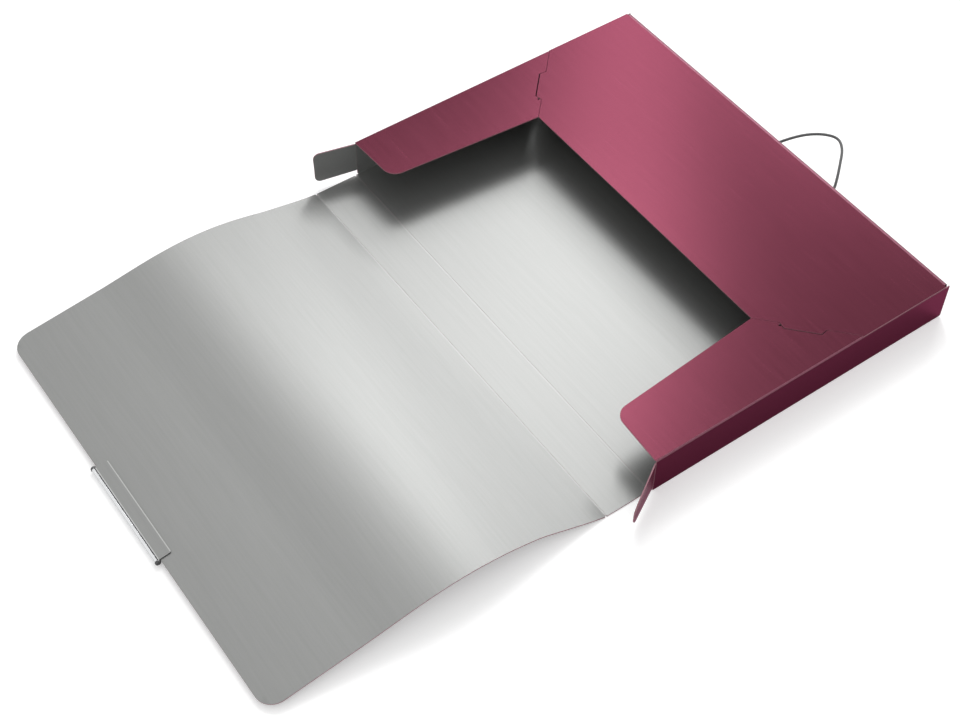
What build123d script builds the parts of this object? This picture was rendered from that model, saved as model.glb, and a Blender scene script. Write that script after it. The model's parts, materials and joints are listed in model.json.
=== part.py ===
from build123d import *
import math
import os

# Document box for A4 paper, folded from one creased polypropylene blank, lying open on a table.
# Frame: +X along the spine, +Y from the mouth to the spine, +Z up, origin under the middle of the base.
# Lengths are in millimetres and angles in degrees.

# Driving sizes of the closed tray
box_length = 330.0
box_depth = 245.0
box_height = 31.0
sheet = 0.8

# Creases: the parent panel ends in a round bead on the fold line, and the child starts past it
bead_radius = 0.38
crease_gap = 0.5
end_inset = 1.6
corner_gap = 0.3

# Front wall and lid, as they lie open in front of the tray
front_wall_width = 327.6
front_wall_length = 32.6
lid_width = 319.4
lid_near_length = 109.2
lid_length = 235.4
lid_shoulder_length = 46.0
lid_corner_radius = 12.0
lid_rise = 10.6
lid_fall = 7.8

# Flaps over the tray and the hooked seams between them
spine_flap_depth = 123.6
side_flap_front_width = 42.6
side_flap_rear_width = 52.2
side_flap_front_slant = 2.2
side_flap_corner_radius = 10.0
seam_outer_depth = 75.8
seam_gap = 0.4
flap_lift = 0.3
tongue_start = 0.32
tongue_end = 0.74
tongue_depth = 4.0
tongue_taper = 3.0

# Tuck tabs at the front ends of the end walls
tab_length = 30.7
tab_bottom = 4.6
tab_top = 29.2
tab_corner_radius = 4.5
left_tab_flare = 14.0
right_tab_flare = 32.0

# Closing clip on the lid's far edge
clip_length = 80.0
clip_leaf_width = 8.7
clip_leaf_thickness = 0.8
clip_bead_radius = 1.6
clip_bead_offset = 2.0
clip_leaf_overhang = 1.0
clip_cap_length = 1.6
clip_cap_radius = 1.9
rivet_radius = 1.1
rivet_head_radius = 2.1
rivet_head_height = 0.4
rivet_spacing = 30.0

# Elastic loop in the spine wall
cord_radius = 1.0
cord_hole_radius = 1.5
cord_hole_left = -8.0
cord_hole_right = 50.5
cord_hole_height = 16.0
barb_length = 12.0
barb_size = 2.4
cord_arc_share = 0.45

half_sheet = sheet / 2
half_length = box_length / 2
half_depth = box_depth / 2
left_crease_x = -half_length + half_sheet
front_crease_y = -half_depth + half_sheet
spine_crease_y = half_depth - half_sheet
top_crease_z = box_height - half_sheet
wall_rise = top_crease_z - half_sheet
end_front_y = front_crease_y + end_inset
lid_crease_y = front_crease_y - front_wall_length
lid_far_length = lid_length - lid_near_length
seam_outer_y = half_depth - seam_outer_depth
seam_inner_y = half_depth - spine_flap_depth

os.makedirs("parts", exist_ok=True)


def panel(plane, outline, radii=None):
    """A flat sheet, centred on its plane, with an outline whose corners may be rounded."""
    if radii:
        edge = FilletPolyline(*outline, radius=radii, close=True)
    else:
        edge = Polyline(*outline, close=True)
    return extrude(plane * make_face(edge), amount=half_sheet, both=True)


def bead(start, end):
    """The round edge that a panel ends in, along the fold line from start to end."""
    line = Vector(*end) - Vector(*start)
    place = Plane(origin=start, z_dir=line)
    return place * Cylinder(bead_radius, line.length, align=(Align.CENTER, Align.CENTER, Align.MIN))


def mirrored(solid):
    """The same panel at the other end of the box."""
    return mirror(solid, about=Plane.YZ)


# Base, with a bead along each of its four creases
base_plane = Plane(origin=(0, 0, half_sheet))
base_panel = panel(
    base_plane,
    [
        (left_crease_x, front_crease_y),
        (-left_crease_x, front_crease_y),
        (-left_crease_x, spine_crease_y),
        (left_crease_x, spine_crease_y),
    ],
)
front_bead_x = front_wall_width / 2 - 1
for crease_y in (front_crease_y, spine_crease_y):
    base_panel += bead((-front_bead_x, crease_y, half_sheet), (front_bead_x, crease_y, half_sheet))
left_bead = bead(
    (left_crease_x, end_front_y + 1, half_sheet),
    (left_crease_x, spine_crease_y - 1, half_sheet),
)
base_panel += [left_bead, mirrored(left_bead)]

# Spine wall, with the two holes that the elastic loop passes through
spine_half = half_length - sheet - corner_gap
spine_plane = Plane(origin=(0, spine_crease_y, half_sheet), x_dir=(-1, 0, 0), z_dir=(0, 1, 0))
spine_wall = panel(
    spine_plane,
    [
        (-spine_half, crease_gap),
        (spine_half, crease_gap),
        (spine_half, wall_rise),
        (-spine_half, wall_rise),
    ],
)
spine_wall += bead(
    (1 - spine_half, spine_crease_y, top_crease_z),
    (spine_half - 1, spine_crease_y, top_crease_z),
)
for hole_x in (cord_hole_left, cord_hole_right):
    hole_place = Pos(hole_x, spine_crease_y, cord_hole_height) * Rot(90, 0, 0)
    spine_wall -= hole_place * Cylinder(cord_hole_radius, 4)

# End walls: full height beside their flaps, lower where the spine flap covers them
end_plane = Plane(origin=(left_crease_x, 0, half_sheet), x_dir=(0, 1, 0), z_dir=(1, 0, 0))
under_flap_rise = wall_rise - half_sheet - flap_lift
left_end_wall = panel(
    end_plane,
    [
        (end_front_y, crease_gap),
        (half_depth, crease_gap),
        (half_depth, under_flap_rise),
        (seam_outer_y, under_flap_rise),
        (seam_outer_y, wall_rise),
        (end_front_y, wall_rise),
    ],
)
left_end_wall += bead(
    (left_crease_x, end_front_y + 1, top_crease_z),
    (left_crease_x, seam_outer_y - 1, top_crease_z),
)
left_end_wall += bead(
    (left_crease_x, end_front_y, tab_bottom + 1),
    (left_crease_x, end_front_y, tab_top - 1),
)
right_end_wall = mirrored(left_end_wall)


def seam_point(share, offset):
    """A point on the left seam, a share of the way in from its outer end, offset towards the spine."""
    outer = Vector(left_crease_x + crease_gap + seam_gap / 2, seam_outer_y)
    inner = Vector(-half_length + side_flap_rear_width, seam_inner_y)
    along = (inner - outer).normalized()
    across = Vector(-along.Y, along.X)
    point = outer + (inner - outer) * share + across * offset
    return (point.X, point.Y)


seam_run = math.hypot(side_flap_rear_width - crease_gap - half_sheet, seam_outer_y - seam_inner_y)
taper_share = tongue_taper / seam_run
slack_share = seam_gap / seam_run


def seam_edge(offset, slack):
    """The seam from outer to inner end, with the tapered hook tongue of the spine flap in its side."""
    return [
        seam_point(0, offset),
        seam_point(tongue_start - slack, offset),
        seam_point(tongue_start + taper_share - slack, offset - tongue_depth),
        seam_point(tongue_end - taper_share + slack, offset - tongue_depth),
        seam_point(tongue_end + slack, offset),
        seam_point(1, offset),
    ]


# Side flaps: slanted front edge, rounded front corner, notched seam
flap_plane = Plane(origin=(0, 0, top_crease_z))
side_outline = [
    (left_crease_x + crease_gap, end_front_y),
    (-half_length + side_flap_front_width, end_front_y + side_flap_front_slant),
]
side_outline += reversed(seam_edge(-seam_gap / 2, slack_share))
left_flap = panel(flap_plane, side_outline, [0, side_flap_corner_radius] + [0] * 6)
right_flap = mirrored(left_flap)

# Spine flap: covers the rear of the tray and carries both hook tongues
flap_half = half_length - corner_gap
seam_side = seam_edge(seam_gap / 2, 0)
spine_outline = [(-flap_half, spine_crease_y - crease_gap), (-flap_half, seam_side[0][1])]
spine_outline += seam_side
spine_outline += [(-x, y) for x, y in reversed(spine_outline)]
spine_flap = panel(flap_plane, spine_outline)

# Tuck tabs: drawn in line with the end wall, then flared outward about their crease
tab_outline = [
    (end_front_y - crease_gap, tab_bottom - half_sheet),
    (end_front_y - crease_gap, tab_top - half_sheet),
    (end_front_y - tab_length, tab_top - half_sheet),
    (end_front_y - tab_length, tab_bottom - half_sheet),
]
flat_tab = panel(end_plane, tab_outline, [0, 0, tab_corner_radius, tab_corner_radius])
tab_crease = Axis((left_crease_x, end_front_y, 0), (0, 0, 1))
left_tuck_tab = flat_tab.rotate(tab_crease, -left_tab_flare)
right_tuck_tab = mirrored(flat_tab.rotate(tab_crease, -right_tab_flare))

# Front wall: a strip that lies flat on the table and ends in the lid's crease
front_half = front_wall_width / 2
front_wall = panel(
    base_plane,
    [
        (-front_half, front_crease_y - crease_gap),
        (-front_half, lid_crease_y),
        (front_half, lid_crease_y),
        (front_half, front_crease_y - crease_gap),
    ],
)
front_wall += bead((-front_bead_x, lid_crease_y, half_sheet), (front_bead_x, lid_crease_y, half_sheet))

# Lid: one bowed sheet in two stretches, rising from its crease and then falling to its far edge
lid_half = lid_width / 2
lid_plane = Plane(origin=(0, lid_crease_y, half_sheet))
near_lay = lid_plane * Rot(-lid_rise, 0, 0)
lid_near = panel(
    Plane(near_lay),
    [
        (-front_half, -crease_gap),
        (-lid_half, -lid_shoulder_length),
        (-lid_half, -lid_near_length),
        (lid_half, -lid_near_length),
        (lid_half, -lid_shoulder_length),
        (front_half, -crease_gap),
    ],
)
ridge = near_lay * Pos(0, -lid_near_length, 0)
lid_near += ridge * bead((1 - lid_half, 0, 0), (lid_half - 1, 0, 0))
far_lay = ridge * Rot(lid_rise + lid_fall, 0, 0)
lid_far = panel(
    Plane(far_lay),
    [
        (-lid_half, -crease_gap),
        (-lid_half, -lid_far_length),
        (lid_half, -lid_far_length),
        (lid_half, -crease_gap),
    ],
    [0, lid_corner_radius, lid_corner_radius, 0],
)

# Clip: a leaf inside, a plate outside, rivets through both and the sheet, a bead beyond the edge
clip_lay = far_lay * Pos(0, -lid_far_length, 0)
leaf_box = Box(clip_length, clip_leaf_width, clip_leaf_thickness)
leaf_middle_y = clip_leaf_width / 2 - clip_leaf_overhang
leaf_z = half_sheet + clip_leaf_thickness / 2
leaf_corners = leaf_box.edges().filter_by(Axis.Z)
clip_leaf = clip_lay * Pos(0, leaf_middle_y, leaf_z) * fillet(leaf_corners, 1.2)
clip_back_plate = clip_lay * Pos(0, leaf_middle_y, -leaf_z) * fillet(leaf_corners, 1.2)
rivet_places = [(i * rivet_spacing, leaf_middle_y) for i in (-1, 0, 1)]
shank_length = sheet + clip_leaf_thickness
shank_z = -half_sheet - clip_leaf_thickness
head_z = shank_z - rivet_head_height
up_from = (Align.CENTER, Align.CENTER, Align.MIN)
rivets = []
for x, y in rivet_places:
    shank_space = clip_lay * Pos(x, y, shank_z) * Cylinder(rivet_radius, shank_length, align=up_from)
    lid_far -= shank_space
    clip_back_plate -= shank_space
    head = Cylinder(rivet_head_radius, rivet_head_height, align=up_from)
    head = fillet(head.edges().sort_by(Axis.Z)[0], rivet_head_height / 2)
    rivets.append(shank_space + clip_lay * Pos(x, y, head_z) * head)
clip_rivets = Compound(children=rivets)

bead_y = -clip_bead_offset
clip_bead = Pos(0, bead_y, 0) * Rot(0, 90, 0) * Cylinder(clip_bead_radius, clip_length)
slot_depth = clip_bead_radius
slot_height = sheet + 2 * clip_leaf_thickness
slot_place = Pos(0, slot_depth / 2 - clip_leaf_overhang, 0)
clip_bead -= slot_place * Box(clip_length + 1, slot_depth, slot_height)
clip_bead = clip_lay * clip_bead
cap = Rot(0, 90, 0) * Cylinder(clip_cap_radius, clip_cap_length)
cap = fillet(cap.edges().filter_by(GeomType.CIRCLE).sort_by(Axis.X)[-1], 0.8)
cap_x = clip_length / 2 + clip_cap_length / 2
clip_cap_right = clip_lay * Pos(cap_x, bead_y, 0) * cap
clip_cap_left = mirrored(clip_cap_right)

# Elastic loop: a cord that leaves the spine wall, arches out and up, and comes back in
cord_route = [
    (cord_hole_left, half_depth - sheet, cord_hole_height),
    (cord_hole_left, 130.5, cord_hole_height),
    (-3.8, 139.5, 19.2),
    (1.5, 149.0, 21.8),
    (9.5, 157.5, 23.8),
    (19.5, 162.0, 25.3),
    (29.5, 156.5, 25.6),
    (38.0, 146.5, 23.8),
    (45.5, 137.5, 20.6),
    (cord_hole_right, 130.2, cord_hole_height),
    (cord_hole_right, half_depth - sheet, cord_hole_height),
]
route = [Vector(*point) for point in cord_route]
runs = [b - a for a, b in zip(route, route[1:])]
radii = []
for before, after in zip(runs, runs[1:]):
    half_turn = math.radians(before.get_angle(after) / 2)
    radii.append(cord_arc_share * min(before.length, after.length) / math.tan(half_turn))
cord_path = FilletPolyline(*cord_route, radius=radii)
cord_start = Plane(origin=cord_path @ 0, z_dir=cord_path % 0)
elastic_cord = sweep(cord_start * Circle(cord_radius), path=cord_path)
print("cord runs", [round(run.length, 1) for run in runs], "radii", [round(r, 1) for r in radii])
tube_volume = math.pi * cord_radius**2 * cord_path.length
print("cord volume", round(elastic_cord.volume, 1), "of", round(tube_volume, 1))
print("cord length", round(cord_path.length, 1))

# Barbs: the bars on the cord's ends, held against the inside of the spine wall
barb_shape = Box(barb_length, barb_size, barb_size)
barb_shape = fillet(barb_shape.edges().filter_by(Axis.Y), 1.0)
barb_y = half_depth - sheet - barb_size / 2
cord_barb_left = Pos(cord_hole_left, barb_y, cord_hole_height) * barb_shape
cord_barb_right = Pos(cord_hole_right, barb_y, cord_hole_height) * barb_shape

nodes = {
    "base_panel": base_panel,
    "spine_wall": spine_wall,
    "left_end_wall": left_end_wall,
    "right_end_wall": right_end_wall,
    "left_flap": left_flap,
    "right_flap": right_flap,
    "spine_flap": spine_flap,
    "left_tuck_tab": left_tuck_tab,
    "right_tuck_tab": right_tuck_tab,
    "front_wall": front_wall,
    "lid_near": lid_near,
    "lid_far": lid_far,
    "clip_leaf": clip_leaf,
    "clip_back_plate": clip_back_plate,
    "clip_rivets": clip_rivets,
    "clip_bead": clip_bead,
    "clip_cap_left": clip_cap_left,
    "clip_cap_right": clip_cap_right,
    "elastic_cord": elastic_cord,
    "cord_barb_left": cord_barb_left,
    "cord_barb_right": cord_barb_right,
}
for name, solid in nodes.items():
    export_step(solid, "parts/" + name + ".step")
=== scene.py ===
import json
import math

import bmesh
import bpy
from mathutils import Matrix, Vector


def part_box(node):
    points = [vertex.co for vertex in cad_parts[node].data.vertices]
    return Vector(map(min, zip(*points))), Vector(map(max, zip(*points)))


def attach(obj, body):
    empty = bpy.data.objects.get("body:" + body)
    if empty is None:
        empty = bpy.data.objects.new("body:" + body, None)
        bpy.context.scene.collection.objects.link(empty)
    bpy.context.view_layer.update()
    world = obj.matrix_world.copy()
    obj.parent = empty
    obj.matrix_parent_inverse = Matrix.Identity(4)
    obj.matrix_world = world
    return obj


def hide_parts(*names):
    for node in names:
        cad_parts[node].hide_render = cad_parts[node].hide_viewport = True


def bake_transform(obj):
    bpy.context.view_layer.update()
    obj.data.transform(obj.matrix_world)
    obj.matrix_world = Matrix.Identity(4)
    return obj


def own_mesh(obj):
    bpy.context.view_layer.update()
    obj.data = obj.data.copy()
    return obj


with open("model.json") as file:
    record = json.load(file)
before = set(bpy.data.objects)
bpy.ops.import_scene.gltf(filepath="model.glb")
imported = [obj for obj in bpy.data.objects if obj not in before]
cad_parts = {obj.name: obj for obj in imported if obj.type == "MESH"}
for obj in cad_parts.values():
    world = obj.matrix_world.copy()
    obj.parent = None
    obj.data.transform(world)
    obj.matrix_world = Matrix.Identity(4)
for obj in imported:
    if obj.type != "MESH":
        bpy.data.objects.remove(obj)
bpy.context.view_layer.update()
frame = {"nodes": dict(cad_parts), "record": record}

# Camera: the photograph was taken from high in front of the tray's right corner, with a moderately
# long lens. The camera's turn is given by its directions to the right, up and back.
camera_place = (0.57257, -0.54448, 0.83999)
camera_right = Vector((0.5779, 0.8160, 0.0079))
camera_up = Vector((-0.6369, 0.4449, 0.6296))
camera_back = Vector((0.5103, -0.3689, 0.7769))


def linked(name, data):
    """A new object of that name in the scene."""
    thing = bpy.data.objects.new(name, data)
    bpy.context.collection.objects.link(thing)
    return thing


camera_data = bpy.data.cameras.new("photo_camera")
camera_data.lens = 63.14
camera_data.sensor_width = 36.0
camera_data.clip_start = 0.01
camera_data.clip_end = 50.0
camera = linked("photo_camera", camera_data)
camera_turn = Matrix((camera_right, camera_up, camera_back)).transposed().to_4x4()
camera.matrix_world = Matrix.Translation(camera_place) @ camera_turn
bpy.context.scene.camera = camera

# Table and room: a plain white table top, lit by a tall narrow soft box behind the tray's left end, by
# three more soft boxes round it and by the pale room itself. None of it belongs to the box.
table_half = 3.0
table_white = 0.86
table_glow = 0.3
room_light = 0.72
room_shown = 1.0
light_target = Vector((0, -0.12, 0))
soft_boxes = [
    ("strip_box_back", (-0.959, 0.833, 1.335), (0.254, 1.535), 7.6),
    ("soft_box_left", (-1.136, 0.434, 1.677), (1.0, 0.44), 7.6),
    ("soft_box_low", (-0.831, 1.379, 1.03), (0.44, 0.36), 4.8),
    ("soft_box_front", (0.9, -1.2, 1.7), (1.2, 1.2), 4.0),
]


def new_finish(name):
    """A new material with its nodes, its links and its shader."""
    finish = bpy.data.materials.new(name)
    finish.use_nodes = True
    tree = finish.node_tree
    return finish, tree.nodes, tree.links, tree.nodes["Principled BSDF"]


table_mesh = bpy.data.meshes.new("table")
table_corners = [(-1, -1), (1, -1), (1, 1), (-1, 1)]
table_mesh.from_pydata([(x * table_half, y * table_half, 0) for x, y in table_corners], [], [(0, 1, 2, 3)])
table = linked("table", table_mesh)
table_finish, table_nodes, table_links, table_shader = new_finish("white_table")
table_shader.inputs["Base Color"].default_value = (table_white, table_white, table_white, 1)
table_shader.inputs["Roughness"].default_value = 0.9
table_shader.inputs["Specular IOR Level"].default_value = 0.0
table_shader.inputs["Emission Color"].default_value = (1, 1, 1, 1)
seen = table_nodes.new("ShaderNodeLightPath")
glow = table_nodes.new("ShaderNodeMath")
glow.operation = "MULTIPLY"
glow.inputs[1].default_value = table_glow
table_links.new(seen.outputs["Is Camera Ray"], glow.inputs[0])
table_links.new(glow.outputs[0], table_shader.inputs["Emission Strength"])
table_mesh.materials.append(table_finish)

room = bpy.data.worlds.new("pale_room")
bpy.context.scene.world = room
room.use_nodes = True
room_nodes = room.node_tree.nodes
room_links = room.node_tree.links
room_ray = room_nodes.new("ShaderNodeLightPath")
shown_ray = room_ray.outputs["Is Camera Ray"]
for ray_kind in ("Is Glossy Ray", "Is Transmission Ray"):
    either_ray = room_nodes.new("ShaderNodeMath")
    either_ray.operation = "MAXIMUM"
    room_links.new(shown_ray, either_ray.inputs[0])
    room_links.new(room_ray.outputs[ray_kind], either_ray.inputs[1])
    shown_ray = either_ray.outputs[0]
room_mix = room_nodes.new("ShaderNodeMapRange")
room_mix.inputs["To Min"].default_value = room_light
room_mix.inputs["To Max"].default_value = room_shown
room_links.new(shown_ray, room_mix.inputs["Value"])
room_links.new(room_mix.outputs["Result"], room_nodes["Background"].inputs["Strength"])
room_nodes["Background"].inputs["Color"].default_value = (1, 1, 1, 1)

for box_name, box_place, box_sides, box_power in soft_boxes:
    soft_box = bpy.data.lights.new(box_name, "AREA")
    soft_box.shape = "RECTANGLE"
    soft_box.size, soft_box.size_y = box_sides
    soft_box.energy = box_power
    lamp = linked(box_name, soft_box)
    lamp.location = box_place
    lamp.rotation_euler = (light_target - Vector(box_place)).to_track_quat("-Z", "Y").to_euler()
bpy.context.scene.view_settings.view_transform = "Standard"

# Elastic loop: a round rubber core in a braided dark grey cover, pushed through two holes in the spine
# wall, where a small steel bar on each end holds it. It arches out and up, and its line repeats the
# route of the solid.
cord_radius = 0.001
cord_route = [
    (-0.008, 0.1217, 0.016),
    (-0.008, 0.1305, 0.016),
    (-0.0038, 0.1395, 0.0192),
    (0.0015, 0.149, 0.0218),
    (0.0095, 0.1575, 0.0238),
    (0.0195, 0.162, 0.0253),
    (0.0295, 0.1565, 0.0256),
    (0.038, 0.1465, 0.0238),
    (0.0455, 0.1375, 0.0206),
    (0.0505, 0.1302, 0.016),
    (0.0505, 0.1217, 0.016),
]
route_steps = 60
cover_relief = 0.00007
cover_strands = 8
cover_pitch = 0.006
cover_sides = 32
full_turn = 2 * math.pi


def evaluated_mesh(source):
    """The object's own mesh, with its curve settings and its modifiers applied."""
    bpy.context.view_layer.update()
    evaluated = source.evaluated_get(bpy.context.evaluated_depsgraph_get())
    return bpy.data.meshes.new_from_object(evaluated)


def plain_mesh(source, name):
    """The evaluated object as a mesh object of its own, with the source removed."""
    piece = linked(name, evaluated_mesh(source))
    bpy.data.objects.remove(source)
    return piece


cord_curve = bpy.data.curves.new("elastic_route", "CURVE")
cord_curve.dimensions = "3D"
cord_spline = cord_curve.splines.new("NURBS")
cord_spline.points.add(len(cord_route) - 1)
for control, point in zip(cord_spline.points, cord_route):
    control.co = (*point, 1)
cord_spline.order_u = 3
cord_spline.use_endpoint_u = True
cord_spline.resolution_u = route_steps
cord_line = linked("elastic_route", cord_curve)
cord_points = [tuple(vertex.co) for vertex in evaluated_mesh(cord_line).vertices]

cover_finish, cover_nodes, cover_links, cover_shader = new_finish("braided_cover")
cover_shader.inputs["Roughness"].default_value = 0.62
cover_shader.inputs["Sheen Weight"].default_value = 0.25
weave = cover_nodes.new("ShaderNodeAttribute")
weave.attribute_name = "braid_height"
# The cover's colour follows the braid's relief, darker in the hollows between the strands and paler on the
# crests: painted shade.
braid_hollow_shade_ramp = cover_nodes.new("ShaderNodeValToRGB")
braid_hollow_shade_ramp.color_ramp.elements[0].color = (0.035, 0.036, 0.037, 1)
braid_hollow_shade_ramp.color_ramp.elements[1].color = (0.14, 0.143, 0.145, 1)
cover_links.new(weave.outputs["Fac"], braid_hollow_shade_ramp.inputs["Fac"])
cover_links.new(braid_hollow_shade_ramp.outputs["Color"], cover_shader.inputs["Base Color"])

cover_tree = bpy.data.node_groups.new("braided_cover", "GeometryNodeTree")
cover_tree.interface.new_socket("Geometry", in_out="INPUT", socket_type="NodeSocketGeometry")
cover_tree.interface.new_socket("Geometry", in_out="OUTPUT", socket_type="NodeSocketGeometry")
cover_tree.interface.new_socket("Material", in_out="INPUT", socket_type="NodeSocketMaterial")
cover_sizes = [
    ("Radius", "NodeSocketFloat", cord_radius),
    ("Relief", "NodeSocketFloat", cover_relief),
    ("Strands", "NodeSocketInt", cover_strands),
    ("Pitch", "NodeSocketFloat", cover_pitch),
]
for size_name, size_kind, size in cover_sizes:
    size_socket = cover_tree.interface.new_socket(size_name, in_out="INPUT", socket_type=size_kind)
    size_socket.default_value = size


def cover_node(kind, **settings):
    """A node in the cover's tree with its properties set."""
    node = cover_tree.nodes.new(kind)
    for key, value in settings.items():
        setattr(node, key, value)
    return node


def cover_maths(operation, first, second=None):
    """One maths node fed by sockets or numbers, and its output."""
    node = cover_node("ShaderNodeMath", operation=operation)
    for socket, value in zip(node.inputs, (first, second)):
        if value is None:
            continue
        if isinstance(value, (int, float)):
            socket.default_value = value
        else:
            cover_tree.links.new(value, socket)
    return node.outputs[0]


def stored(name):
    """A node that stores a number on every point under a name."""
    node = cover_node("GeometryNodeStoreNamedAttribute", data_type="FLOAT", domain="POINT")
    node.inputs["Name"].default_value = name
    return node


def read_back(name):
    """The number that is stored under a name."""
    node = cover_node("GeometryNodeInputNamedAttribute", data_type="FLOAT")
    node.inputs["Name"].default_value = name
    return node.outputs["Attribute"]


cover_in = cover_node("NodeGroupInput")
cover_out = cover_node("NodeGroupOutput")
along = cover_node("GeometryNodeSplineParameter")
along_store = stored("along")
ring = cover_node("GeometryNodeCurvePrimitiveCircle")
ring.inputs["Resolution"].default_value = cover_sides
around_store = stored("around")
tube = cover_node("GeometryNodeCurveToMesh")
tube.inputs["Fill Caps"].default_value = True
braid = cover_tree.links
braid.new(cover_in.outputs["Geometry"], along_store.inputs["Geometry"])
braid.new(along.outputs["Length"], along_store.inputs["Value"])
core_radius = cover_maths("SUBTRACT", cover_in.outputs["Radius"], cover_in.outputs["Relief"])
braid.new(core_radius, ring.inputs["Radius"])
braid.new(ring.outputs["Curve"], around_store.inputs["Geometry"])
braid.new(along.outputs["Factor"], around_store.inputs["Value"])
braid.new(along_store.outputs["Geometry"], tube.inputs["Curve"])
braid.new(around_store.outputs["Geometry"], tube.inputs["Profile Curve"])
around_turn = cover_maths("MULTIPLY", read_back("around"), full_turn)
around_turn = cover_maths("MULTIPLY", around_turn, cover_in.outputs["Strands"])
along_turn = cover_maths("DIVIDE", read_back("along"), cover_in.outputs["Pitch"])
along_turn = cover_maths("MULTIPLY", along_turn, full_turn)
along_turn = cover_maths("MULTIPLY", along_turn, cover_in.outputs["Strands"])
right_hand = cover_maths("COSINE", cover_maths("ADD", around_turn, along_turn))
left_hand = cover_maths("COSINE", cover_maths("SUBTRACT", around_turn, along_turn))
crossing = cover_maths("MULTIPLY", right_hand, left_hand)
height = cover_maths("MULTIPLY", cover_maths("ADD", crossing, 1.0), 0.5)
lift = cover_maths("MULTIPLY", height, cover_in.outputs["Relief"])
surface_normal = cover_node("GeometryNodeInputNormal")
push = cover_node("ShaderNodeVectorMath", operation="SCALE")
braid.new(surface_normal.outputs["Normal"], push.inputs[0])
braid.new(lift, push.inputs["Scale"])
raised = cover_node("GeometryNodeSetPosition")
braid.new(tube.outputs["Mesh"], raised.inputs["Geometry"])
braid.new(push.outputs["Vector"], raised.inputs["Offset"])
height_store = stored("braid_height")
braid.new(raised.outputs["Geometry"], height_store.inputs["Geometry"])
braid.new(height, height_store.inputs["Value"])
real = cover_node("GeometryNodeRealizeInstances")
painted = cover_node("GeometryNodeSetMaterial")
braid.new(height_store.outputs["Geometry"], real.inputs["Geometry"])
braid.new(real.outputs["Geometry"], painted.inputs["Geometry"])
braid.new(cover_in.outputs["Material"], painted.inputs["Material"])
braid.new(painted.outputs["Geometry"], cover_out.inputs["Geometry"])

cover = cord_line.modifiers.new("cover", "NODES")
cover.node_group = cover_tree
for item in cover_tree.interface.items_tree:
    if item.in_out == "INPUT" and item.name == "Material":
        cover[item.identifier] = cover_finish
elastic = plain_mesh(cord_line, "elastic_loop")
elastic.data.shade_smooth()
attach(elastic, "spine_wall")
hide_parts("elastic_cord")
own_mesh(elastic)


def part_finish(name, colour, metallic, rough_low, rough_high, grain_size):
    """A moulded or drawn surface: its colour, with a fine grain in its gloss."""
    finish, nodes, wires, shader = new_finish(name)
    shader.inputs["Metallic"].default_value = metallic
    place = nodes.new("ShaderNodeTexCoord")
    grain = nodes.new("ShaderNodeTexNoise")
    grain.inputs["Scale"].default_value = grain_size
    grain.inputs["Detail"].default_value = 4.0
    wires.new(place.outputs["Object"], grain.inputs["Vector"])
    tones = nodes.new("ShaderNodeValToRGB")
    tones.color_ramp.elements[0].color = (*[0.88 * part for part in colour], 1)
    tones.color_ramp.elements[1].color = (*[min(1, 1.1 * part) for part in colour], 1)
    wires.new(grain.outputs["Fac"], tones.inputs["Fac"])
    wires.new(tones.outputs["Color"], shader.inputs["Base Color"])
    gloss = nodes.new("ShaderNodeMapRange")
    gloss.inputs["To Min"].default_value = rough_low
    gloss.inputs["To Max"].default_value = rough_high
    wires.new(grain.outputs["Fac"], gloss.inputs["Value"])
    wires.new(gloss.outputs["Result"], shader.inputs["Roughness"])
    return finish


def refinish(node_name, finish):
    """The finish on a part that keeps the shape of its solid."""
    node = frame["nodes"][node_name]
    node.data.materials.clear()
    node.data.materials.append(finish)


barb_steel = part_finish("barb_steel", (0.5, 0.5, 0.5), 1.0, 0.25, 0.4, 600.0)
for barb_name in ("cord_barb_left", "cord_barb_right"):
    refinish(barb_name, barb_steel)

# Blank: one sheet of polypropylene, garnet outside and silver-grey inside, with a fine metallic sheen.
# It is cut and creased flat; each panel below is one stretch of it between two creases.
sheet = 0.0008
cut_bevel = 0.00012
crease_reach = 0.0008
crease_thickness = 0.0006
crease_roundness = 0.75
panel_inset = 0.0006
strip_inset = 0.001
crease_lap = crease_reach - panel_inset
soft_bend = 0.0032
punch_depth = 0.004
sharp_bend = math.radians(20)
bevelled_bend = math.radians(50)
faces_straight = 0.9999
crease = {joint["name"]: Vector(joint["pos_m"]) for joint in frame["record"]["behaviour"]["joints"]}
middle_z = crease["front_wall_fold"].z
top_z = crease["spine_flap_fold"].z
front_y = crease["front_wall_fold"].y
spine_y = crease["spine_wall_fold"].y
end_x = crease["right_wall_fold"].x
mouth_y = crease["left_tab_fold"].y


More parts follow.
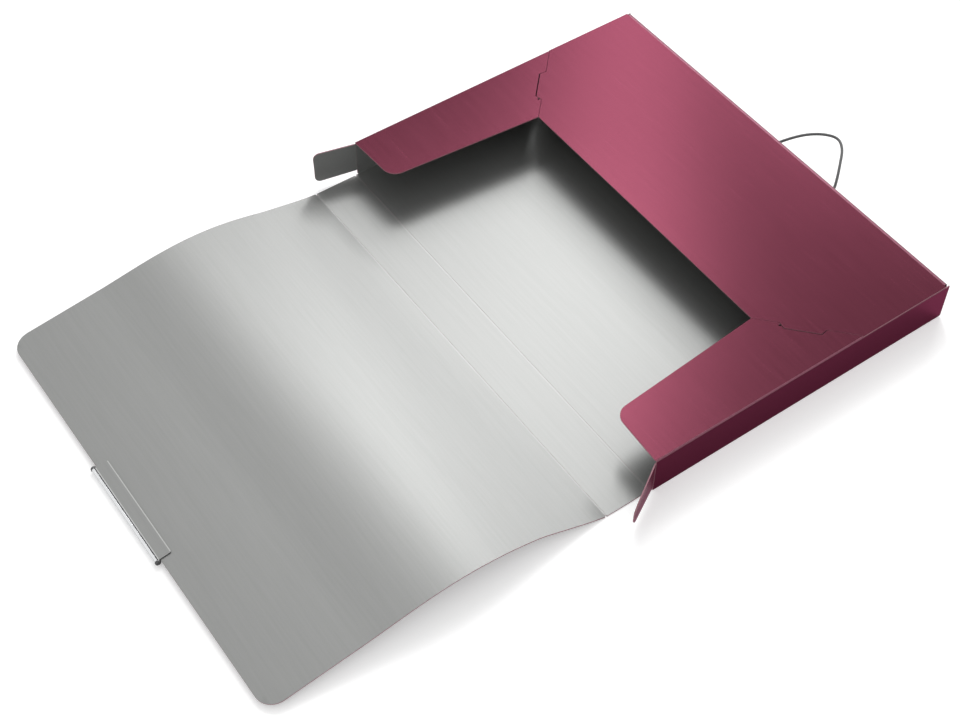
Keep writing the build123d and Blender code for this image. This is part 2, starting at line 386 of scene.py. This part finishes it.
def sheet_finish(name, dark, light, metallic, rough_low, rough_high, glance=(1, 1, 1)):
    """Satin extruded plastic: faint streaks, fine flakes, an uneven gloss and a tint at a glance."""
    finish, nodes, wires, shader = new_finish(name)
    shader.inputs["Metallic"].default_value = metallic
    shader.inputs["IOR"].default_value = 1.49
    shader.inputs["Specular IOR Level"].default_value = 0.3
    shader.inputs["Specular Tint"].default_value = (*glance, 1)
    place = nodes.new("ShaderNodeTexCoord")
    stretch = nodes.new("ShaderNodeMapping")
    stretch.inputs["Scale"].default_value = (6, 160, 160)
    wires.new(place.outputs["Object"], stretch.inputs["Vector"])
    streaks = nodes.new("ShaderNodeTexNoise")
    streaks.inputs["Scale"].default_value = 4.0
    streaks.inputs["Detail"].default_value = 5.0
    wires.new(stretch.outputs["Vector"], streaks.inputs["Vector"])
    flakes = nodes.new("ShaderNodeTexNoise")
    flakes.inputs["Scale"].default_value = 2600.0
    flakes.inputs["Detail"].default_value = 2.0
    wires.new(place.outputs["Object"], flakes.inputs["Vector"])
    blend = nodes.new("ShaderNodeMix")
    blend.data_type = "FLOAT"
    blend.inputs["Factor"].default_value = 0.45
    wires.new(streaks.outputs["Fac"], blend.inputs["A"])
    wires.new(flakes.outputs["Fac"], blend.inputs["B"])
    tones = nodes.new("ShaderNodeValToRGB")
    tones.color_ramp.elements[0].position = 0.34
    tones.color_ramp.elements[0].color = (*dark, 1)
    tones.color_ramp.elements[1].position = 0.66
    tones.color_ramp.elements[1].color = (*light, 1)
    wires.new(blend.outputs["Result"], tones.inputs["Fac"])
    wires.new(tones.outputs["Color"], shader.inputs["Base Color"])
    gloss = nodes.new("ShaderNodeMapRange")
    gloss.inputs["To Min"].default_value = rough_low
    gloss.inputs["To Max"].default_value = rough_high
    wires.new(blend.outputs["Result"], gloss.inputs["Value"])
    wires.new(gloss.outputs["Result"], shader.inputs["Roughness"])
    grain = nodes.new("ShaderNodeBump")
    grain.inputs["Strength"].default_value = 0.12
    grain.inputs["Distance"].default_value = 0.00003
    wires.new(flakes.outputs["Fac"], grain.inputs["Height"])
    wires.new(grain.outputs["Normal"], shader.inputs["Normal"])
    return finish


garnet_glance = (0.95, 0.5, 0.64)
garnet = sheet_finish(
    "garnet_outside", (0.076, 0.0175, 0.0285), (0.088, 0.0215, 0.0345), 0.95, 0.22, 0.30, garnet_glance
)
silver = sheet_finish("silver_inside", (0.255, 0.258, 0.253), (0.275, 0.278, 0.273), 0.75, 0.40, 0.44)
cut_edge = sheet_finish("cut_edge", (0.27, 0.12, 0.15), (0.34, 0.17, 0.20), 0.0, 0.5, 0.6)
# The outside of the crease strips is paler than the garnet panels: a painted highlight along the rounded
# creases.
crease_outside_highlight = sheet_finish("crease_outside_highlight", (0.17, 0.055, 0.082), (0.23, 0.085, 0.12), 0.5, 0.34, 0.44)
crease_inside = sheet_finish("crease_inside", (0.28, 0.283, 0.277), (0.32, 0.323, 0.316), 0.8, 0.40, 0.48)
blank_finishes = (garnet, silver, cut_edge)
strip_finishes = (crease_outside_highlight, crease_inside, cut_edge)


def rounded(corners, radii, steps=8):
    """The outline with each corner that has a radius turned into an arc."""
    points = []
    count = len(corners)
    for index in range(count):
        here = Vector(corners[index])
        radius = radii[index]
        if not radius:
            points.append(tuple(here))
            continue
        before = (Vector(corners[index - 1]) - here).normalized()
        after = (Vector(corners[(index + 1) % count]) - here).normalized()
        half = before.angle(after) / 2
        centre = here + (before + after).normalized() * (radius / math.sin(half))
        first = here + before * (radius / math.tan(half)) - centre
        last = here + after * (radius / math.tan(half)) - centre
        sweep = first.angle_signed(last)
        for step in range(steps + 1):
            spin = Matrix.Rotation(-sweep * step / steps, 2)
            points.append(tuple(centre + spin @ first))
    return points


def spaced(low, high, count):
    """Places that divide a span evenly, without its ends."""
    return [low + (high - low) * step / count for step in range(1, count)]


def shade(piece, outward):
    """Smooth shading on the bends and the cut edges, flat shading on what faces straight outward."""
    piece.data.shade_smooth()
    piece.data.set_sharp_from_angle(angle=sharp_bend)
    facing = Vector(outward).normalized()
    for face in piece.data.polygons:
        if abs(face.normal.dot(facing)) > faces_straight:
            face.use_smooth = False


def creased_sheet(name, outline, lay, outward, cuts, finishes, thickness=sheet, round_over=cut_bevel):
    """A two-tone sheet: a flat outline, divided at the cuts, bent by lay and given its thickness.

    A fourth finish goes on the rounded-over edges.
    """
    bm = bmesh.new()
    bm.faces.new([bm.verts.new((u, v, 0)) for u, v in outline])
    for direction, places in zip(((1, 0, 0), (0, 1, 0)), cuts):
        for place in places:
            everything = bm.verts[:] + bm.edges[:] + bm.faces[:]
            spot = Vector(direction) * place
            bmesh.ops.bisect_plane(bm, geom=everything, dist=1e-7, plane_co=spot, plane_no=direction)
    for vertex in bm.verts:
        vertex.co = lay(vertex.co.x, vertex.co.y)
    bmesh.ops.triangulate(bm, faces=[face for face in bm.faces if len(face.verts) > 4])
    bm.normal_update()
    facing = sum((face.normal * face.calc_area() for face in bm.faces), Vector())
    if facing.dot(Vector(outward)) < 0:
        bmesh.ops.reverse_faces(bm, faces=bm.faces[:])
    mesh = bpy.data.meshes.new(name + "_cut")
    bm.to_mesh(mesh)
    bm.free()
    for finish in finishes:
        mesh.materials.append(finish)
    flat = linked(name + "_cut", mesh)
    solid = flat.modifiers.new("thickness", "SOLIDIFY")
    solid.thickness = thickness
    solid.offset = 0
    solid.use_even_offset = True
    solid.material_offset = 1
    solid.material_offset_rim = 2
    edge = flat.modifiers.new("cut_edges", "BEVEL")
    edge.width = round_over
    edge.segments = 2
    edge.limit_method = "ANGLE"
    edge.angle_limit = bevelled_bend
    edge.material = 3 if len(finishes) > 3 else -1
    piece = plain_mesh(flat, name)
    shade(piece, outward)
    return piece


def pierced(piece, centre, direction, radius):
    """The piece with a round hole through it."""
    bm = bmesh.new()
    turn_to = Vector((0, 0, 1)).rotation_difference(Vector(direction)).to_matrix().to_4x4()
    where = Matrix.Translation(centre) @ turn_to
    bmesh.ops.create_cone(
        bm, cap_ends=True, segments=32, radius1=radius, radius2=radius, depth=punch_depth, matrix=where
    )
    mesh = bpy.data.meshes.new("punch")
    bm.to_mesh(mesh)
    bm.free()
    punch = linked("punch", mesh)
    for slot_finish in piece.data.materials:
        mesh.materials.append(slot_finish)
    for face in mesh.polygons:
        face.material_index = 2
    hole = piece.modifiers.new("hole", "BOOLEAN")
    hole.operation = "DIFFERENCE"
    hole.solver = "EXACT"
    hole.object = punch
    name = piece.name
    piece.name = name + "_whole"
    result = plain_mesh(piece, name)
    bpy.data.objects.remove(punch)
    shade(result, direction)
    return result


def fold_strip(name, first_end, last_end, leg_a, leg_b, outward, reach=crease_reach):
    """The thin stretch on a crease, a live hinge, bent round between its two panels."""
    first_end, last_end = Vector(first_end), Vector(last_end)
    leg_a, leg_b = Vector(leg_a), Vector(leg_b)
    run = last_end - first_end
    profile = [leg_a * reach]
    bend = reach * crease_roundness
    steps = 8
    for step in range(steps + 1):
        share = step / steps
        profile.append(leg_a * bend * (1 - share) ** 2 + leg_b * bend * share**2)
    profile.append(leg_b * reach)
    stations = [index / (len(profile) - 1) for index in range(len(profile))]

    def lay(u, v):
        index = min(range(len(stations)), key=lambda i: abs(stations[i] - v))
        return first_end + run * u + profile[index]

    outline = [(0, 0), (1, 0), (1, 1), (0, 1)]
    cuts = ([], stations[1:-1])
    strip = creased_sheet(name, outline, lay, outward, cuts, strip_finishes, thickness=crease_thickness)
    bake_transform(strip)
    return strip


# Base: the middle panel of the blank, which lies on the table with its silver side up. A crease along
# each of its four edges joins it to the spine wall, the end walls and the front wall.
base_x = end_x - panel_inset
base_outline = [
    (-base_x, front_y + panel_inset),
    (base_x, front_y + panel_inset),
    (base_x, spine_y - panel_inset),
    (-base_x, spine_y - panel_inset),
]
base = creased_sheet(
    "base_sheet",
    base_outline,
    lambda u, v: Vector((u, v, middle_z)),
    (0, 0, -1),
    ([], []),
    blank_finishes,
)
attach(base, "tray_base")
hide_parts("base_panel")

# Spine wall: the closed back of the tray, folded up from the base. It has two punched holes for the
# elastic loop, and it bends softly into the spine flap at its top.
spine_low, spine_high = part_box("spine_wall")
spine_wall_top = top_z - soft_bend + crease_lap
hole_radius = 0.0015
spine_wall = creased_sheet(
    "spine_wall_sheet",
    [
        (spine_low.x, middle_z + panel_inset),
        (spine_high.x, middle_z + panel_inset),
        (spine_high.x, spine_wall_top),
        (spine_low.x, spine_wall_top),
    ],
    lambda u, v: Vector((u, spine_y, v)),
    (0, 1, 0),
    ([], []),
    blank_finishes,
)
for hole_x, _, hole_z in (cord_route[0], cord_route[-1]):
    spine_wall = pierced(spine_wall, (hole_x, spine_y, hole_z), (0, 1, 0), hole_radius)
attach(spine_wall, "spine_wall")
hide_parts("spine_wall")
fold_strip(
    "spine_foot_crease",
    (spine_low.x + strip_inset, spine_y, middle_z),
    (spine_high.x - strip_inset, spine_y, middle_z),
    (0, -1, 0),
    (0, 0, 1),
    (0, 1, -1),
)

# End walls: the short sides, folded up from the base. They carry the side flaps and the tuck tabs, and
# each one's rear third runs under the spine flap and is free there.
seam_outer_reach = 0.0478
seam_outer_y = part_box("spine_flap")[0].y + seam_outer_reach
under_flap_z = 0.0299
wall_rear_y = spine_y + sheet / 2
both_ends = ((-1, "left"), (1, "right"))
for side, hand in both_ends:
    wall = creased_sheet(
        hand + "_end_wall_sheet",
        [
            (mouth_y + panel_inset, middle_z + panel_inset),
            (wall_rear_y, middle_z + panel_inset),
            (wall_rear_y, under_flap_z),
            (seam_outer_y, under_flap_z),
            (seam_outer_y, top_z - panel_inset),
            (mouth_y + panel_inset, top_z - panel_inset),
        ],
        lambda u, v, side=side: Vector((side * end_x, u, v)),
        (side, 0, 0),
        ([], []),
        blank_finishes,
    )
    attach(wall, hand + "_end_wall")
    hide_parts(hand + "_end_wall")
    fold_strip(
        hand + "_foot_crease",
        (side * end_x, mouth_y + strip_inset, middle_z),
        (side * end_x, spine_y - strip_inset, middle_z),
        (-side, 0, 0),
        (0, 0, 1),
        (side, 0, -1),
    )

# Side flaps and spine flap: they close the tray's top round its window. A hooked tongue on the spine
# flap sits in a notch in each side flap, with a punched relief hole at the notch's inner end.
half_length = 0.165
half_depth = 0.1225
flap_front_width = 0.0426
flap_rear_width = 0.0522
flap_slant = 0.0022
flap_corner = 0.010
flap_strip_inset = 0.0004
spine_flap_depth = 0.1236
spine_flap_inset = 0.0003
flap_bulge = 0.0003
seam_outer_inset = 0.0011
seam_outer_depth = 0.0758
seam_gap = 0.0003
tongue_depth = 0.004
tongue_taper = 0.003
tongue_span = (0.32, 0.74)
tongue_radii = [0, 0.0006, 0.001, 0.001, 0.0006, 0]
slit_open = 0.0005
slit_slack = 0.005
relief_radius = 0.0009
seam_start = Vector((half_length - seam_outer_inset, half_depth - seam_outer_depth))
seam_finish = Vector((half_length - flap_rear_width, half_depth - spine_flap_depth))
seam_along = (seam_finish - seam_start).normalized()
seam_across = Vector((seam_along.y, -seam_along.x))
seam_run = (seam_finish - seam_start).length


def seam_place(side, share, offset):
    """A point on a seam, a share of the way in, offset towards the spine."""
    point = seam_start + seam_along * (seam_run * share) + seam_across * offset
    return (side * point.x, point.y)


def seam_line(side, offset, depth, slack):
    """The seam from its outer to its inner end, with the outline of the hooked tongue in it."""
    taper = tongue_taper / seam_run
    return [
        seam_place(side, 0, offset),
        seam_place(side, tongue_span[0] - slack, offset),
        seam_place(side, tongue_span[0] - slack + taper, offset - depth),
        seam_place(side, tongue_span[1] + slack - taper, offset - depth),
        seam_place(side, tongue_span[1] + slack, offset),
        seam_place(side, 1, offset),
    ]


for side, hand in both_ends:
    notch = seam_line(side, -seam_gap / 2, tongue_depth + slit_open, slit_slack)
    flap_outline = [
        (side * (end_x - panel_inset), mouth_y),
        (side * (half_length - flap_front_width), mouth_y + flap_slant),
    ]
    flap = creased_sheet(
        hand + "_flap_sheet",
        rounded(flap_outline + notch[::-1], [0, flap_corner] + tongue_radii[::-1]),
        lambda u, v: Vector((u, v, top_z)),
        (0, 0, 1),
        ([], []),
        blank_finishes,
    )
    relief = seam_place(side, tongue_span[1], -tongue_depth / 2)
    flap = pierced(flap, (*relief, top_z), (0, 0, 1), relief_radius)
    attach(flap, hand + "_flap")
    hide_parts(hand + "_flap")
    fold_strip(
        hand + "_top_crease",
        (side * end_x, mouth_y + flap_strip_inset, top_z),
        (side * end_x, seam_outer_y - flap_strip_inset, top_z),
        (0, 0, -1),
        (-side, 0, 0),
        (side, 0, 1),
    )

flap_side = half_length - spine_flap_inset
flap_back = spine_y - soft_bend + crease_lap
right_seam = seam_line(1, seam_gap / 2, tongue_depth, 0)
left_seam = seam_line(-1, seam_gap / 2, tongue_depth, 0)
spine_outline = [(flap_side, flap_back), (flap_side, right_seam[0][1])] + right_seam
spine_outline += left_seam[::-1] + [(-flap_side, left_seam[0][1]), (-flap_side, flap_back)]
spine_radii = [0, 0] + tongue_radii + tongue_radii[::-1] + [0, 0]


def bulged(u, v):
    """The spine flap's surface, which rises slightly between its crease and its free edge."""
    inward = (flap_back - v) / spine_flap_depth
    across = 1 - (u / half_length) ** 2
    rise = flap_bulge * math.sin(math.pi * min(max(inward, 0), 1)) * across
    return Vector((u, v, top_z + rise))


spine_flap = creased_sheet(
    "spine_flap_sheet",
    rounded(spine_outline, spine_radii),
    bulged,
    (0, 0, 1),
    (spaced(-half_length, half_length, 44), spaced(half_depth - spine_flap_depth, spine_y, 30)),
    blank_finishes,
)
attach(spine_flap, "spine_flap")
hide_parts("spine_flap")
fold_strip(
    "spine_top_crease",
    (spine_low.x + strip_inset, spine_y, top_z),
    (spine_high.x - strip_inset, spine_y, top_z),
    (0, 0, -1),
    (0, -1, 0),
    (0, 1, 1),
    reach=soft_bend,
)

# Tuck tabs: rounded tongues of the same sheet on the mouth ends of the end walls. They stand flared
# outward while the box is open, and the lower half of each leans in a little towards its tip.
tab_low, tab_high = 0.0046, 0.0292
tab_length = 0.0307
tab_corner = 0.0045
tab_flares = {"left": 14.0, "right": 32.0}
tab_middle = (tab_low + tab_high) / 2
tab_bend = math.tan(math.radians(7))
for side, hand in both_ends:
    flare = math.radians(tab_flares[hand])
    tab_run = Vector((side * math.sin(flare), -math.cos(flare), 0))
    tab_root = Vector((side * end_x, mouth_y, 0))
    tab_out = Vector((side * math.cos(flare), math.sin(flare), 0))

    def tab_lay(u, v, root=tab_root, run=tab_run, out=tab_out):
        """A point of the tab, which leans in more the lower and the nearer to its tip it lies."""
        lean = (max(v, tab_middle) - tab_high) * tab_bend
        reach = (u - panel_inset) / tab_length
        return root + run * u + Vector((0, 0, v)) + out * (lean * reach)

    tab_outline = rounded(
        [(panel_inset, tab_low), (tab_length, tab_low), (tab_length, tab_high), (panel_inset, tab_high)],
        [0, tab_corner, tab_corner, 0],
    )
    tab = creased_sheet(
        hand + "_tuck_tab_sheet",
        tab_outline,
        tab_lay,
        tab_out,
        (spaced(panel_inset, tab_length, 10), spaced(tab_low, tab_high, 12)),
        blank_finishes,
    )
    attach(tab, hand + "_tuck_tab")
    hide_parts(hand + "_tuck_tab")
    fold_strip(
        hand + "_tab_crease",
        (side * end_x, mouth_y, tab_low),
        (side * end_x, mouth_y, tab_high),
        (0, 1, 0),
        tab_run,
        (side, 0, 0),
    )

# Front wall: the strip of the blank between base and lid. It lies flat with its silver side up while
# the box is open, and folds up along its crease to close the tray's mouth.
front_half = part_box("front_wall")[1].x
lid_crease = crease["lid_fold"]
front_wall = creased_sheet(
    "front_wall_sheet",
    [
        (-front_half, front_y - panel_inset),
        (-front_half, lid_crease.y + panel_inset),
        (front_half, lid_crease.y + panel_inset),
        (front_half, front_y - panel_inset),
    ],
    lambda u, v: Vector((u, v, middle_z)),
    (0, 0, -1),
    ([], []),
    blank_finishes,
)
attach(front_wall, "front_wall")
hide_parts("front_wall")
fold_strip(
    "front_foot_crease",
    (-front_half + strip_inset, front_y, middle_z),
    (front_half - strip_inset, front_y, middle_z),
    (0, 1, 0),
    (0, -1, 0),
    (0, 0, -1),
)

# Lid: one springy panel of the blank, bowed while it lies open, with round corners at its far edge.
lid_ridge = crease["lid_flex"]
lid_near_length = (lid_ridge - lid_crease).length
lid_length = 0.2354
lid_rise = math.radians(10.6)
lid_fall = math.radians(7.8)
lid_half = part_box("lid_far")[1].x
lid_shoulder = 0.046
lid_shoulder_radius = 0.12
lid_corner = 0.012
bow_before = 0.1088
bow_after = 0.064
near_run = Vector((0, -math.cos(lid_rise), math.sin(lid_rise)))
far_run = Vector((0, -math.cos(lid_fall), -math.sin(lid_fall)))
bow_start = lid_ridge - near_run * bow_before
bow_end = lid_ridge + far_run * bow_after
bow_line = bow_end - bow_start


def bow_point(station):
    """A point of the bow and its distance along the sheet, at a share of the way along the bow."""
    weight = station * station * (3 - 2 * station)
    angle = lid_rise - weight * (lid_rise + lid_fall)
    run = Vector((0, -math.cos(angle), math.sin(angle)))
    reach = (bow_start + bow_line * station - lid_ridge).dot(bow_line) / run.dot(bow_line)
    return lid_ridge + run * reach, lid_near_length + reach


def lid_line(distance):
    """The lid's middle line at a distance along the sheet from its crease."""
    if distance <= lid_near_length - bow_before:
        return lid_ridge + near_run * (distance - lid_near_length)
    if distance >= lid_near_length + bow_after:
        return lid_ridge + far_run * (distance - lid_near_length)
    low, high = 0.0, 1.0
    for _ in range(40):
        middle = (low + high) / 2
        if bow_point(middle)[1] < distance:
            low = middle
        else:
            high = middle
    return bow_point(low)[0]


lid_outline = rounded(
    [
        (-front_half, panel_inset),
        (-lid_half, lid_shoulder),
        (-lid_half, lid_length),
        (lid_half, lid_length),
        (lid_half, lid_shoulder),
        (front_half, panel_inset),
    ],
    [0, lid_shoulder_radius, lid_corner, lid_corner, lid_shoulder_radius, 0],
    steps=12,
)
lid = creased_sheet(
    "lid_sheet",
    lid_outline,
    lambda u, v: Vector((u, 0, 0)) + lid_line(v),
    (0, 0, -1),
    (spaced(-front_half, front_half, 24), spaced(0, lid_length, 90)),
    blank_finishes,
)
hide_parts("lid_near", "lid_far")
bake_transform(lid)
fold_strip(
    "lid_crease",
    (-front_half + strip_inset, lid_crease.y, middle_z),
    (front_half - strip_inset, lid_crease.y, middle_z),
    (0, 1, 0),
    near_run,
    (0, 0, -1),
)

# Closing clip: a grey leaf and plate riveted through the lid's far edge, with a bright rail over the
# edge and a dark cap on each end of the rail. The leaf's long edges are rounded over and carry a pale
# painted highlight; its rims and the rail's groove carry dark painted shade.
# Near-black on the leaf's rims and on the floor of the rail's groove: painted shade.
rim_and_groove_painted_shade = part_finish("rim_and_groove_painted_shade", (0.035, 0.035, 0.036), 0.0, 0.45, 0.6, 700.0)
# Pale grey on the leaf's rounded-over edges and along its long edges: a painted highlight.
leaf_painted_highlight = part_finish("leaf_edge_painted_highlight", (0.46, 0.465, 0.455), 0.3, 0.35, 0.5, 700.0)
clip_grey = part_finish("clip_grey", (0.26, 0.265, 0.26), 0.2, 0.35, 0.5, 900.0)
chrome = part_finish("bright_rail", (0.78, 0.79, 0.80), 1.0, 0.06, 0.16, 500.0)
cap_dark = part_finish("cap_dark", (0.09, 0.09, 0.092), 0.6, 0.22, 0.34, 700.0)
clip_half = 0.040
clip_corner = 0.0012
leaf_thickness = 0.0008
leaf_round_over = 0.00022
leaf_facing = 0.9
leaf_reach_in = 0.0077
leaf_reach_out = 0.0010
# Width of the painted highlight band along each of the leaf's long edges.
painted_highlight_band = 0.0006
leaf_inner, leaf_outer = lid_length - leaf_reach_in, lid_length + leaf_reach_out
far_up = Vector((0, -math.sin(lid_fall), math.cos(lid_fall)))


def on_leaf(u, v):
    """The middle of the leaf, which lies on the lid's silver side."""
    return lid_line(v) + Vector((u, 0, 0)) + far_up * (sheet + leaf_thickness) / 2


leaf = creased_sheet(
    "clip_leaf_plate",
    rounded(
        [
            (-clip_half, leaf_outer),
            (clip_half, leaf_outer),
            (clip_half, leaf_inner),
            (-clip_half, leaf_inner),
        ],
        [0, 0, clip_corner, clip_corner],
    ),
    on_leaf,
    far_up,
    ([], [leaf_inner + painted_highlight_band, leaf_outer - painted_highlight_band]),
    (silver, clip_grey, rim_and_groove_painted_shade, leaf_painted_highlight),
    thickness=leaf_thickness,
    round_over=leaf_round_over,
)
# The upward faces next to the leaf's long edges get the pale finish: a painted highlight.
for face in leaf.data.polygons:
    reach = (face.center - on_leaf(0, leaf_inner)).dot(far_run)
    in_painted_highlight = min(reach, leaf_outer - leaf_inner - reach) < painted_highlight_band
    if in_painted_highlight and face.normal.dot(far_up) > leaf_facing:
        face.material_index = 3
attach(leaf, "lid_far")
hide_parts("clip_leaf")

rail_radius = 0.0016
rail_sides = 60
rail_offset = 0.0020
rail_sharp_bend = math.radians(30)
rail_centre = lid_line(lid_length + rail_offset)
groove_middle = math.radians(113)
groove_half = math.radians(13)
groove_margin = math.radians(2)
groove_floor = 0.0009
groove_taper = 0.8
rail_turns = [math.radians(360 / rail_sides * step) for step in range(rail_sides)]
rail_profile = [
    (turn, rail_radius) for turn in rail_turns if abs(turn - groove_middle) > groove_half + groove_margin
]
rail_profile += [
    (groove_middle - groove_half, rail_radius),
    (groove_middle - groove_half * groove_taper, groove_floor),
    (groove_middle + groove_half * groove_taper, groove_floor),
    (groove_middle + groove_half, rail_radius),
]
rail_profile.sort()
bm = bmesh.new()
rail_ends = []
for x in (-clip_half, clip_half):
    rail_ends.append([
        bm.verts.new(
            rail_centre + Vector((x, 0, 0)) + (far_run * math.cos(turn) + far_up * math.sin(turn)) * radius
        )
        for turn, radius in rail_profile
    ])
for index, (turn, radius) in enumerate(rail_profile):
    after = (index + 1) % len(rail_profile)
    quad = [rail_ends[0][index], rail_ends[0][after], rail_ends[1][after], rail_ends[1][index]]
    face = bm.faces.new(quad)
    face.smooth = True
    # The groove's floor gets the near-black finish: painted shade in the groove.
    face.material_index = 1 if min(radius, rail_profile[after][1]) < rail_radius else 0
for rail_end in rail_ends:
    bm.faces.new(rail_end)
bmesh.ops.recalc_face_normals(bm, faces=bm.faces[:])
rail_mesh = bpy.data.meshes.new("clip_rail")
bm.to_mesh(rail_mesh)
bm.free()
rail_mesh.materials.append(chrome)
rail_mesh.materials.append(rim_and_groove_painted_shade)
rail_mesh.set_sharp_from_angle(angle=rail_sharp_bend)
rail = linked("clip_rail", rail_mesh)
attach(rail, "lid_far")
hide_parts("clip_bead")

refinish("clip_back_plate", clip_grey)
refinish("clip_rivets", chrome)
refinish("clip_cap_left", cap_dark)
refinish("clip_cap_right", cap_dark)
